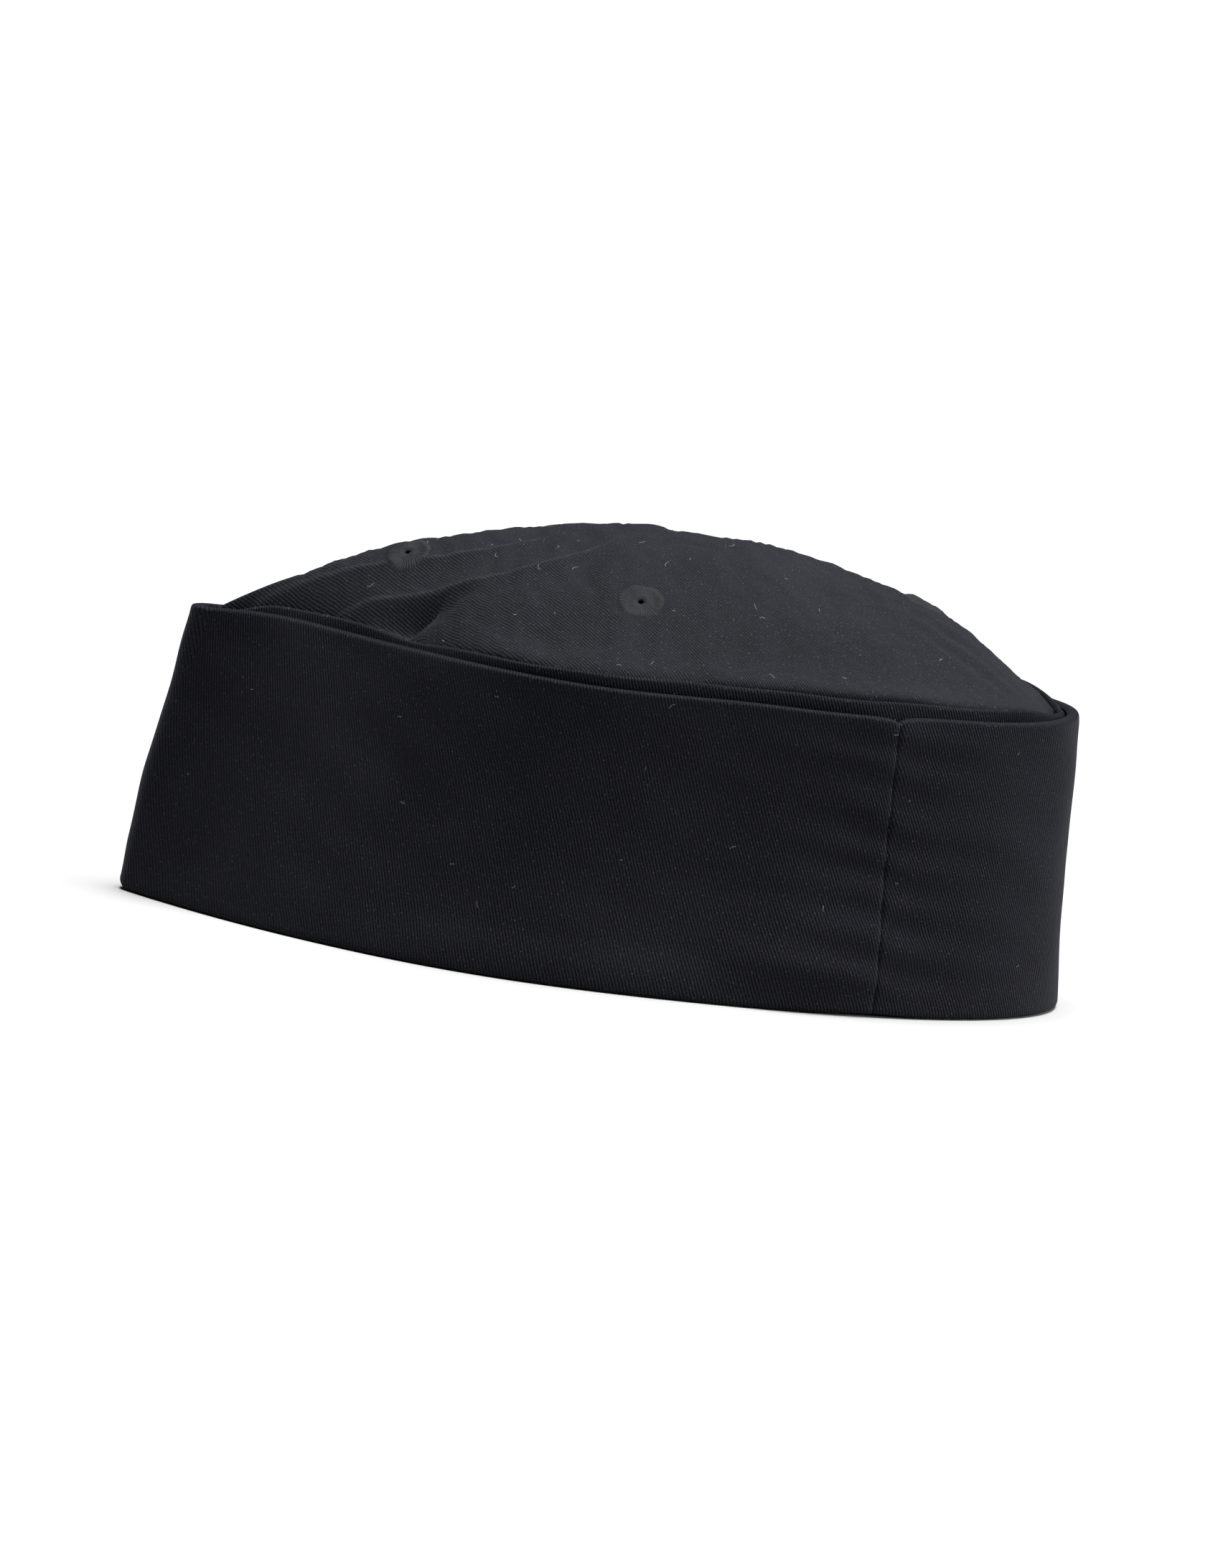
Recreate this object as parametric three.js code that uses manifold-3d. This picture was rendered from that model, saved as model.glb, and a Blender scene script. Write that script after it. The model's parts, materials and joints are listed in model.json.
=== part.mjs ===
// A low, soft chef's cap: a turned-up cuff round an oval side wall, closed by a domed
// crown with four embroidered vent eyelets. Millimetres, +Z up, origin at the middle of
// the bottom edge. The front is at -X, the back at +X, and the wearer's left is at -Y.

import * as THREE from 'three';
import { mergeVertices } from 'three/addons/utils/BufferGeometryUtils.js';
import Module from 'manifold-3d';

const wasm = await Module();
wasm.setup();

// ---- Driving dimensions ----

// The line inside every layer of cloth, at the bottom edge and at the cuff's fold.
const rimLength = 228;
const rimWidth = 136;
const foldLength = 214;
const foldWidth = 113;
const foldShift = 2.5;          // the fold's middle lies this far behind the rim's middle
const rimPinch = 1.95;          // how sharply the front is drawn in: 1 is a plain oval
const foldPinch = 4.8;
const rimBack = 1;              // the same at the back: under 1 is blunter than an oval
const foldBack = 0.88;

// Heights.
const cuffHeight = 75;
const wallStand = 2;            // the side wall shows this much above the cuff's fold
const crownRise = 29.5;
const frontFullness = 2;        // how far out the dome stays high, towards the front,
const backFullness = 2.9;       // the back
const sideFullness = 1.9;       // and the sides

// Cloth.
const leaf = 0.9;               // one leaf of the cuff
const stiffener = 0.8;          // the cuff's interlining
const wallCloth = 1.0;
const crownCloth = 1.0;
const sweatCloth = 1.0;
const gap = 0.3;                // kept between any two pieces
const innerLine = 0.3;          // the sweatband's face, out from the line above

// The cuff's side seams, and the turn in degrees from the front where they stand.
const seamTurn = 128;
const footHeight = 1.2;         // the cloth turned under at the cuff's bottom edge
const foldRound = 1.1;          // the fold's edges are eased by this much

// The sweatband, and the elastic in its casing across the back.
const sweatBottom = 2.5;
const sweatHeight = 32;
const elasticTurn = 140;
const casingCloth = 0.6;
const elasticThickness = 0.8;
const elasticHeight = 24;

// The tape over the crown seam, and the blank care label.
const tapeWidth = 9;
const tapeThickness = 0.8;
const tapeDrop = 1;             // the tape's top lies this far under the crown's edge
const labelTurn = 152;
const labelWidth = 22;
const labelThickness = 0.7;
const labelDrop = 2;            // the label's top lies this far under the tape,
const labelLift = 4.5;          // and its bottom this far over the elastic's casing

// The eyelets: how far each lies behind the crown's middle, and to the right of it.
const eyeletRadius = 6.2;
const eyeletHole = 0.9;
const eyeletHeight = 1.6;
const eyeletPlaces = [
  { name: 'eyelet_front', behind: -60, right: 0 },
  { name: 'eyelet_left', behind: 0, right: -36 },
  { name: 'eyelet_back', behind: 71, right: 0 },
  { name: 'eyelet_right', behind: 0, right: 36 },
];

// How finely the outline is divided.
const frontSteps = 18;          // from the front to a cuff seam
const backSteps = 8;            // from a cuff seam to the back
const tipSteps = 3;             // round half of the front's tip
const sharedRows = 6;           // from the bottom edge to the fold
const crownRows = 14;           // across the crown

// ---- Layers, each as its distance out from the inner line ----

const sweatInner = innerLine;
const sweatOuter = sweatInner + sweatCloth;
const wallInner = sweatOuter + gap;
const wallOuter = wallInner + wallCloth;
const cuffInner = wallOuter + gap;
const stiffenerInner = cuffInner + leaf + gap;
const stiffenerOuter = stiffenerInner + stiffener;
const cuffOuter = stiffenerOuter + gap + leaf;

const wallTop = cuffHeight + wallStand;
const crownBase = wallTop + gap;
const sweatTop = sweatBottom + sweatHeight;

// ---- The outline ----

const radians = THREE.MathUtils.degToRad;
const mix = THREE.MathUtils.lerp;

// An oval whose front is drawn to a point. Turn 0 is the front, and it grows to the left.
function oval(turn, length, width, pinch, back) {
  const forward = Math.cos(turn);
  const power = mix(back, pinch, THREE.MathUtils.smoothstep(forward, -0.6, 0.6));
  const spread = Math.abs(Math.sin(turn)) ** power;
  const side = -Math.sign(Math.sin(turn));
  return new THREE.Vector2(-length / 2 * forward, side * width / 2 * spread);
}

// The inner line at a height: it runs straight from the rim's oval to the fold's.
function innerLineAt(turn, height) {
  const up = height / cuffHeight;
  const fold = oval(turn, foldLength, foldWidth, foldPinch, foldBack);
  fold.x += foldShift;
  return oval(turn, rimLength, rimWidth, rimPinch, rimBack).lerp(fold, up);
}

// The way out of the inner line, level with the ground.
function wayOut(turn, height) {
  const step = 0.001;
  const ahead = innerLineAt(turn + step, height);
  const along = ahead.sub(innerLineAt(turn - step, height));
  return new THREE.Vector2(along.y, -along.x).normalize();
}

// A place on the hat. A station is a turn, and at the very front also a lean from -1 to
// 1, because the cloth swings round a point there.
function place(station, height, out) {
  const at = innerLineAt(station.turn, height);
  let way;
  if (station.turn === 0) {
    const edge = wayOut(0.004, height);
    const swing = Math.atan2(-edge.y, -edge.x) * station.lean;
    way = new THREE.Vector2(-Math.cos(swing), -Math.sin(swing));
  } else {
    way = wayOut(station.turn, height);
  }
  return new THREE.Vector3(at.x + way.x * out, at.y + way.y * out, height);
}

// Every station on one side, from the front's middle to the back's middle.
function sideStations() {
  const seam = radians(seamTurn);
  const stations = [];
  for (let i = 0; i <= tipSteps; i += 1) {
    stations.push({ turn: 0, lean: i / tipSteps });
  }
  for (let i = 1; i <= frontSteps; i += 1) {
    stations.push({ turn: seam * i / frontSteps, lean: 0 });
  }
  for (let i = 1; i <= backSteps; i += 1) {
    stations.push({ turn: mix(seam, Math.PI, i / backSteps), lean: 0 });
  }
  return stations;
}

// The stations from one turn to a larger one. Turns past the back go on growing.
function stationsBetween(from, to) {
  const left = sideStations();
  const right = left.slice(1).map((s) => ({ turn: -s.turn, lean: -s.lean })).reverse();
  const beyond = right.slice(1).map((s) => ({ turn: s.turn + 2 * Math.PI, lean: s.lean }));
  const inside = [...right, ...left, ...beyond].filter(
    (s) => s.turn > from + 0.001 && s.turn < to - 0.001,
  );
  return [{ turn: from, lean: 0 }, ...inside, { turn: to, lean: 0 }];
}

// The turn that lies a length further round from a given one, at half the cuff's height.
function turnAfter(turn, length) {
  const step = 0.001;
  const here = innerLineAt(turn, cuffHeight / 2);
  const perTurn = innerLineAt(turn + step, cuffHeight / 2).distanceTo(here) / step;
  return turn + length / perTurn;
}

// ---- Solids ----

// Joins a geometry's shared corners, leaves out slivers and makes its faces point out.
function closedBody(geometry) {
  geometry.deleteAttribute('uv');
  geometry.deleteAttribute('normal');
  const joined = mergeVertices(geometry, 1e-4);
  const corner = [new THREE.Vector3(), new THREE.Vector3(), new THREE.Vector3()];
  const kept = [];
  let volume = 0;
  for (let i = 0; i < joined.index.count; i += 3) {
    const triangle = [0, 1, 2].map((k) => joined.index.getX(i + k));
    if (new Set(triangle).size === 3) {
      triangle.forEach((v, k) => corner[k].fromBufferAttribute(joined.attributes.position, v));
      volume += corner[0].dot(corner[1].clone().cross(corner[2]));
      kept.push(...triangle);
    }
  }
  if (volume < 0) {
    kept.reverse();
  }
  joined.setIndex(kept);
  return joined;
}

function toSolid(geometry) {
  const body = closedBody(geometry);
  return new wasm.Manifold(new wasm.Mesh({
    numProp: 3,
    vertProperties: new Float32Array(body.attributes.position.array),
    triVerts: new Uint32Array(body.index.array),
  }));
}

function fromSolid(solid) {
  const mesh = solid.getMesh();
  const geometry = new THREE.BufferGeometry();
  geometry.setAttribute('position', new THREE.BufferAttribute(mesh.vertProperties, 3));
  geometry.setIndex(new THREE.BufferAttribute(mesh.triVerts, 1));
  return geometry;
}

// A closed sheet of cloth: a grid of columns and rows, with an inner face, 0, and an outer
// face, 1. The function given says where each of its corners lies.
function sheet(columns, rows, cornerAt) {
  const places = [];
  for (let c = 0; c < columns; c += 1) {
    for (let r = 0; r < rows; r += 1) {
      places.push(...cornerAt(c, r, 0), ...cornerAt(c, r, 1));
    }
  }
  const corner = (c, r, face) => (c * rows + r) * 2 + face;
  const index = [];
  const quad = (a, b, c, d) => index.push(a, b, c, a, c, d);
  const backOfQuad = (a, b, c, d) => index.push(c, b, a, d, c, a);
  for (let c = 0; c < columns - 1; c += 1) {
    for (let r = 0; r < rows - 1; r += 1) {
      const square = (face) => [
        corner(c, r, face), corner(c + 1, r, face),
        corner(c + 1, r + 1, face), corner(c, r + 1, face),
      ];
      quad(...square(1));
      backOfQuad(...square(0));
    }
    const edge = (r) => [
      corner(c, r, 0), corner(c + 1, r, 0), corner(c + 1, r, 1), corner(c, r, 1),
    ];
    quad(...edge(0));
    backOfQuad(...edge(rows - 1));
  }
  for (let r = 0; r < rows - 1; r += 1) {
    const end = (c) => [
      corner(c, r, 0), corner(c, r, 1), corner(c, r + 1, 1), corner(c, r + 1, 0),
    ];
    quad(...end(0));
    backOfQuad(...end(columns - 1));
  }
  const geometry = new THREE.BufferGeometry();
  geometry.setAttribute('position', new THREE.Float32BufferAttribute(places, 3));
  geometry.setIndex(index);
  return geometry;
}

// A strip of cloth standing round the hat. Each row is a height, with how far both faces
// are eased in there.
function strip(stations, inner, outer, rows) {
  return sheet(stations.length, rows.length, (c, r, face) => {
    const row = rows[r];
    return place(stations[c], row.height, face ? outer - row.ease : inner + row.ease);
  });
}

// The rows of a strip: its two edges, and the heights between them that all strips share.
function rowsBetween(bottom, top) {
  const heights = [bottom];
  for (let i = 1; i <= sharedRows; i += 1) {
    const height = cuffHeight * i / sharedRows;
    if (height > bottom + 0.5 && height < top - 0.5) {
      heights.push(height);
    }
  }
  heights.push(top);
  return heights.map((height) => ({ height, ease: 0 }));
}

// The same, with its top edge rounded over.
function foldedRows(bottom, top, round) {
  return [
    ...rowsBetween(bottom, top - round),
    { height: top - round * 0.4, ease: round * 0.3 },
    { height: top, ease: round },
  ];
}

function addPiece(group, name, geometry, material) {
  const mesh = new THREE.Mesh(closedBody(geometry), material.clone());
  mesh.name = name;
  group.add(mesh);
}

const cloth = (color, roughness) => (
  new THREE.MeshStandardMaterial({ color, roughness, metalness: 0 })
);
const blackTwill = cloth(0x24252a, 0.85);
const feltedWhite = cloth(0xd5d3cc, 0.95);
const blackCotton = cloth(0x1b1b1e, 0.95);
const blackElastic = cloth(0x303034, 0.8);
const blackThread = cloth(0x1e1f24, 0.55);
const whiteSatin = cloth(0xe6e4de, 0.6);

// ---- Cuff: a strip folded along its top, with a stiffener inside, in two panels ----

function cuffPanel(from, to) {
  const stations = stationsBetween(from, to);
  const outside = strip(
    stations, cuffInner, cuffOuter, foldedRows(0, cuffHeight, foldRound),
  );
  const pastEnds = stationsBetween(turnAfter(from, -1), turnAfter(to, 1));
  const pocket = strip(
    pastEnds, cuffInner + leaf, cuffOuter - leaf,
    rowsBetween(footHeight, cuffHeight - leaf - gap),
  );
  return fromSolid(toSolid(outside).subtract(toSolid(pocket)));
}

function cuffStiffener(from, to) {
  const rows = rowsBetween(footHeight + gap, cuffHeight - leaf - 2 * gap);
  return strip(stationsBetween(from, to), stiffenerInner, stiffenerOuter, rows);
}

function addCuff(group) {
  const seam = radians(seamTurn);
  const front = turnAfter(seam, -gap / 2);
  const back = turnAfter(seam, gap / 2);
  const past = 2 * Math.PI;
  addPiece(group, 'cuff_front_panel', cuffPanel(-front, front), blackTwill);
  addPiece(group, 'cuff_back_panel', cuffPanel(back, past - back), blackTwill);
  addPiece(group, 'cuff_front_stiffener', cuffStiffener(-front, front), feltedWhite);
  addPiece(group, 'cuff_back_stiffener', cuffStiffener(back, past - back), feltedWhite);
}

// ---- Side wall: two panels that meet in a seam at the front and at the back ----

function sideWall(from, to) {
  const tip = { turn: 0, lean: 0 };
  let stations = stationsBetween(from, to).filter((s) => s.turn !== 0);
  const half = sideStations().filter((s) => s.turn === 0 && s.lean > 0);
  if (from === 0) {
    stations = [tip, ...half, ...stations];
  } else {
    stations = [...stations, ...half.map((s) => ({ turn: 0, lean: -s.lean })).reverse(), tip];
  }
  const wall = strip(stations, wallInner, wallOuter, rowsBetween(0, wallTop));
  const seamSlot = new THREE.BoxGeometry(rimLength * 2, gap, wallTop * 3);
  return fromSolid(toSolid(wall).subtract(toSolid(seamSlot)));
}

function addSideWalls(group) {
  addPiece(group, 'side_wall_left', sideWall(0, Math.PI), blackTwill);
  addPiece(group, 'side_wall_right', sideWall(-Math.PI, 0), blackTwill);
}

// ---- Crown: a soft dome standing on the side wall's top edge ----

// How high the dome's middle line stands over the crown's edge, so far behind the front.
function ridgeRise(x, edgeOut, rise) {
  const toFront = x < foldShift;
  const end = place({ turn: toFront ? 0 : Math.PI, lean: 0 }, crownBase, edgeOut).x;
  const share = Math.min((x - foldShift) / (end - foldShift), 1);
  return rise * (1 - share ** (toFront ? frontFullness : backFullness));
}

// A place on the dome, on the line across it from one edge, -1, to the other, 1.
function crownPlace(station, across, edgeOut, rise) {
  const edge = place(station, crownBase, edgeOut);
  const fall = 1 - Math.abs(across) ** sideFullness;
  const height = crownBase + ridgeRise(edge.x, edgeOut, rise) * fall;
  return new THREE.Vector3(edge.x, edge.y * across, height);
}

// The station on the left whose edge of the crown lies so far behind the front.
function crownStationAt(x) {
  let near = 0;
  let far = Math.PI;
  for (let i = 0; i < 30; i += 1) {
    const turn = (near + far) / 2;
    if (place({ turn, lean: 1 }, crownBase, wallOuter).x < x) {
      near = turn;
    } else {
      far = turn;
    }
  }
  return { turn: near, lean: 1 };
}

// The middle of the cloth at a distance behind and to the right of the crown's middle, and
// the way out of it.
function crownSpot(behind, right) {
  const at = (dx, dy) => {
    const station = crownStationAt(foldShift + behind + dx);
    const across = (right + dy) / place(station, crownBase, wallOuter).y;
    return crownPlace(station, across, wallOuter, crownRise);
  };
  const step = eyeletRadius / 2;
  const along = at(step, 0).sub(at(-step, 0));
  const over = at(0, step).sub(at(0, -step));
  const out = along.cross(over).normalize();
  return { at: at(0, 0).addScaledVector(out, -crownCloth / 2), out };
}

function standOn(geometry, spot) {
  const up = new THREE.Vector3(0, 1, 0);
  geometry.applyQuaternion(new THREE.Quaternion().setFromUnitVectors(up, spot.out));
  return geometry.translate(...spot.at);
}

function crownGeometry() {
  const stations = sideStations();
  return sheet(stations.length, crownRows + 1, (c, r, face) => {
    const across = 1 - 2 * r / crownRows;
    const edgeOut = face ? wallOuter : wallInner;
    const rise = face ? crownRise : crownRise - crownCloth;
    return crownPlace(stations[c], across, edgeOut, rise);
  });
}

function addCrown(group) {
  let crown = toSolid(crownGeometry());
  const holeRadius = eyeletRadius + gap;
  for (const eyelet of eyeletPlaces) {
    const spot = crownSpot(eyelet.behind, eyelet.right);
    const hole = new THREE.CylinderGeometry(holeRadius, holeRadius, 4 * eyeletHeight, 20);
    crown = crown.subtract(toSolid(standOn(hole, spot)));
  }
  addPiece(group, 'crown_panel', fromSolid(crown), blackTwill);
}

// ---- Eyelets: satin stitch worked round a small hole ----

function addEyelets(group) {
  const half = eyeletHeight / 2;
  const profile = [
    [eyeletHole, -half], [eyeletRadius, -half * 0.4], [eyeletRadius, half * 0.4],
    [mix(eyeletHole, eyeletRadius, 0.5), half], [eyeletHole, half], [eyeletHole, -half],
  ].map((p) => new THREE.Vector2(...p));
  for (const eyelet of eyeletPlaces) {
    const spot = crownSpot(eyelet.behind, eyelet.right);
    const ring = new THREE.LatheGeometry(profile, 20);
    addPiece(group, eyelet.name, standOn(ring, spot), blackThread);
  }
}

// ---- Inside: sweatband, elastic in its casing, crown seam tape and care label ----

function addSweatband(group) {
  const end = radians(elasticTurn);
  const front = turnAfter(end, -gap / 2);
  const back = turnAfter(end, gap / 2);
  const past = 2 * Math.PI - back;
  const rows = rowsBetween(sweatBottom, sweatTop);
  const band = strip(stationsBetween(-front, front), sweatInner, sweatOuter, rows);
  addPiece(group, 'sweatband', band, blackCotton);

  const pocketDepth = elasticThickness + 2 * gap;
  const pocketInner = sweatOuter - casingCloth - pocketDepth;
  const casingInner = pocketInner - casingCloth;
  const casing = strip(stationsBetween(back, past), casingInner, sweatOuter, rows);
  const middle = (sweatBottom + sweatTop) / 2;
  const pocketRows = rowsBetween(
    middle - elasticHeight / 2 - gap, middle + elasticHeight / 2 + gap,
  );
  const pastEnds = stationsBetween(turnAfter(back, -1), turnAfter(past, 1));
  const pocket = strip(pastEnds, pocketInner, pocketInner + pocketDepth, pocketRows);
  const sleeve = fromSolid(toSolid(casing).subtract(toSolid(pocket)));
  addPiece(group, 'elastic_casing', sleeve, blackCotton);

  const elasticRows = rowsBetween(middle - elasticHeight / 2, middle + elasticHeight / 2);
  const elasticInner = pocketInner + gap;
  const elastic = strip(
    stationsBetween(back, past), elasticInner, elasticInner + elasticThickness, elasticRows,
  );
  addPiece(group, 'back_elastic', elastic, blackElastic);
}

const tapeTop = wallTop - tapeDrop;
const tapeBottom = tapeTop - tapeWidth;
const tapeOuter = wallInner - gap;

function addSeamTape(group) {
  const end = turnAfter(Math.PI, -gap);
  const rows = rowsBetween(tapeBottom, tapeTop);
  const tape = strip(stationsBetween(-end, end), tapeOuter - tapeThickness, tapeOuter, rows);
  addPiece(group, 'crown_seam_tape', tape, blackCotton);
}

function addLabel(group) {
  const middle = radians(labelTurn);
  const ends = [turnAfter(middle, -labelWidth / 2), turnAfter(middle, labelWidth / 2)];
  const top = tapeBottom - labelDrop;
  const rows = rowsBetween(sweatTop + labelLift, top);
  const outer = wallInner - gap;
  const label = strip(stationsBetween(...ends), outer - labelThickness, outer, rows);
  addPiece(group, 'care_label', label, whiteSatin);
}

const hat = new THREE.Group();
addCuff(hat);
addSideWalls(hat);
addCrown(hat);
addEyelets(hat);
addSweatband(hat);
addSeamTape(hat);
addLabel(hat);

export default hat;
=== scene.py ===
"""A low, soft chef's cap of black cotton twill, in metres: front at -X, +Z up."""
import json
import math

import bmesh
import bpy
import numpy as np
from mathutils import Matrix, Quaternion, Vector

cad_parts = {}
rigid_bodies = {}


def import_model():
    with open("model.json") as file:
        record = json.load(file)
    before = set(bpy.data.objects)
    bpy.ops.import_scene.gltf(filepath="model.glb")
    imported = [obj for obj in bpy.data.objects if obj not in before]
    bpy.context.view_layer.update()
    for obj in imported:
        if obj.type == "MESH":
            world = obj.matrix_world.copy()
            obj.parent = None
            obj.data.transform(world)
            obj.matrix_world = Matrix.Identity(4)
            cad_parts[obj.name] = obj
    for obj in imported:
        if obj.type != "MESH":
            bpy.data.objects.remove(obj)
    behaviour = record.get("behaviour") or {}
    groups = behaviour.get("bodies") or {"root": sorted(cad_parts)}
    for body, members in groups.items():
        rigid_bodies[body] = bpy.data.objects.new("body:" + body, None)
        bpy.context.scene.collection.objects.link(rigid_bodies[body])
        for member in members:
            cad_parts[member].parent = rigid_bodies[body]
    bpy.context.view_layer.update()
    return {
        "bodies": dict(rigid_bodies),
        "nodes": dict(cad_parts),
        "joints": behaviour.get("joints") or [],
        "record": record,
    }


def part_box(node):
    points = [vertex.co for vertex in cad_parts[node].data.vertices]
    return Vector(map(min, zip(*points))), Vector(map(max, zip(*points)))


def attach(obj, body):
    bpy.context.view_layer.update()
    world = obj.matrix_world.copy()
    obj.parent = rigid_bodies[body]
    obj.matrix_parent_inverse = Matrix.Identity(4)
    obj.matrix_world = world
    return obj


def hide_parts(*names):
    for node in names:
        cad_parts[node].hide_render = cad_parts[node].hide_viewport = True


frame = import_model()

# ---- Cuff ----
# A strip of black cotton twill, folded along its top edge and turned up round the cap. It
# is cut as a long front panel and a short back one, sewn together behind each ear, and the
# thread there draws the cloth into short ripples and a notch in the fold.

CLOTH = 0.0007  # the twill's thickness
CUFF_OUT = 0.0061  # the cuff's face, out from the line inside every layer
WALL_OUT = 0.0026  # the side wall's face
CUFF_LEAF_IN = 0.00325  # the middle of the cuff's hidden leaf
SEAM_TURN = math.radians(128)  # where the cuff's seams stand, round from the front
RIM_PINCH, FOLD_PINCH = 1.95, 4.8  # how sharply the front is drawn in, low and high
RIM_BACK, FOLD_BACK = 1.0, 0.88  # under 1 is blunter than an oval
TIP = 0.35  # the stretch of the path that swings round the very front

front_low, front_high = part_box("cuff_front_panel")
back_low, back_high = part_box("cuff_back_panel")
crown_low, crown_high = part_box("crown_panel")
cuff_height = front_high.z
crown_share = crown_low.z / cuff_height
rim_size = np.array([back_high.x - front_low.x, front_high.y - front_low.y]) - 2 * CUFF_OUT
crown_size = np.array([crown_high.x - crown_low.x, crown_high.y - crown_low.y])
fold_size = rim_size + (crown_size - 2 * WALL_OUT - rim_size) / crown_share
fold_shift = (crown_high.x + crown_low.x) / 2 / crown_share
HALF_PATH = math.pi + TIP
EAR = 0.150  # where the cuff has sunk in over the ear, round from the front
BEHIND_EAR = 0.192  # where its foot bulges again
RIPPLE = 0.0108  # from one pucker beside a seam to the next


def ease(x):
    """Rises from 0 to 1 as x does, level at both ends: 3 x squared less 2 x cubed."""
    x = np.clip(x, 0, 1)
    return x * x * (3 - 2 * x)


def hump(x, width):
    """The bell curve: e to the power of minus x over width, squared."""
    return np.exp(-((x / width) ** 2))


def waves(a, b, size, seed, count=14):
    """Soft unevenness from -1 to 1: sine waves of random direction, about size long."""
    draw = np.random.default_rng(seed)
    total = 0
    for _ in range(count):
        angle, phase = draw.uniform(0, 2 * math.pi, 2)
        rate = 2 * math.pi / (size * draw.uniform(0.7, 1.6))
        total = total + np.sin(rate * (a * math.cos(angle) + b * math.sin(angle)) + phase)
    return total / math.sqrt(2 * count)


def oval(turn, size, pinch, back):
    """An oval whose half width is multiplied by the sine of the turn, to a power that goes
    from back behind to pinch in front."""
    forward = np.cos(turn)
    power = back + (pinch - back) * ease((forward + 0.6) / 1.2)
    spread = np.abs(np.sin(turn)) ** power
    return -size[0] / 2 * forward, -np.sign(np.sin(turn)) * size[1] / 2 * spread


def inner_line(turn, height):
    """The line inside all the layers: straight from the rim's oval up to the fold's."""
    up = height / cuff_height
    rim_x, rim_y = oval(turn, rim_size, RIM_PINCH, RIM_BACK)
    fold_x, fold_y = oval(turn, fold_size, FOLD_PINCH, FOLD_BACK)
    return rim_x + (fold_x + fold_shift - rim_x) * up, rim_y + (fold_y - rim_y) * up


def plain_place(path, height, out):
    """A place so far along the path round the cap, which is 0 at the front and grows to the
    wearer's left: the inner line, moved level outwards. Within TIP of the front the cloth
    swings round one point."""
    path = (path + HALF_PATH) % (2 * HALF_PATH) - HALF_PATH
    side = np.where(path < 0, -1.0, 1.0)
    turn = np.maximum(np.abs(path) - TIP, 0)
    lean = np.minimum(np.abs(path) / TIP, 1)
    x, y = inner_line(turn, height)
    step = 0.001
    near = np.maximum(turn, 0.004)
    x_on, y_on = inner_line(near + step, height)
    x_back, y_back = inner_line(near - step, height)
    swing = np.arctan2(x_on - x_back, -(y_on - y_back)) * lean
    x = x - np.cos(swing) * out
    y = y - np.sin(swing) * out
    return np.stack(np.broadcast_arrays(x, side * y, height), -1)


fine_path = np.linspace(-HALF_PATH, HALF_PATH, 8001)
fine_place = plain_place(fine_path, cuff_height / 2, CUFF_OUT)
fine_length = np.append(0, np.cumsum(np.linalg.norm(np.diff(fine_place, axis=0), axis=1)))
round_length = fine_length[-1]
fine_length -= round_length / 2


def path_at(length):
    """The path value at a length round the cuff's face, 0 at the front."""
    rounds = np.floor(length / round_length + 0.5)
    path = np.interp(length - rounds * round_length, fine_length, fine_path)
    return path + rounds * 2 * HALF_PATH


def length_at(path):
    """The other way round: the length round the cuff's face at a path value."""
    rounds = np.floor(path / (2 * HALF_PATH) + 0.5)
    return np.interp(path - rounds * 2 * HALF_PATH, fine_path, fine_length) + rounds * round_length


seam_length = float(length_at(SEAM_TURN + TIP))


def sway(length, height):
    """How far out all the layers lean together. Bell curves swell the front, hollow the
    cloth over the ear and bulge its foot behind the ear; beside the cuff's seams a sine wave
    up the cloth dies away with e to the power of minus the distance over its reach."""
    up = height / cuff_height
    around = np.abs((length + round_length / 2) % round_length - round_length / 2)
    soft = 0.0009 * waves(length, height, 0.06, 1) + 0.0002 * waves(length, height, 0.02, 2)
    soft = soft + 0.0010 * hump(around, 0.025) * np.sin(math.pi * up)
    soft = soft - 0.0055 * hump(around - EAR, 0.050) * np.sin(math.pi * up)
    soft = soft + 0.0026 * hump(around - BEHIND_EAR, 0.028) * hump(height - 0.010, 0.018)
    away = around - seam_length
    wander = 1.3 * waves(height, height * 0, 0.03, 20) + np.sign(away) * 0.7
    beat = np.sin(2 * math.pi * height / RIPPLE + wander + away * 60)
    reach = 0.014 + 0.004 * waves(height, away, 0.02, 30)
    strength = 0.35 + 0.65 * waves(height, height * 0, 0.05, 40) ** 2
    tight = 1 - 0.8 * np.exp(-np.abs(away) / 0.0025)
    return soft - 0.0022 * tight * beat * strength * np.exp(-np.abs(away) / reach)


def place(path, height, out):
    """A place with the layers' common unevenness, which the rim on the table lacks."""
    path, height = np.broadcast_arrays(path, height)
    lean = sway(length_at(path), height) * ease((height - 0.001) / 0.012)
    lean = lean * ease((cuff_height + 0.004 - height) / 0.008)
    return plain_place(path, height, out + lean)


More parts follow.
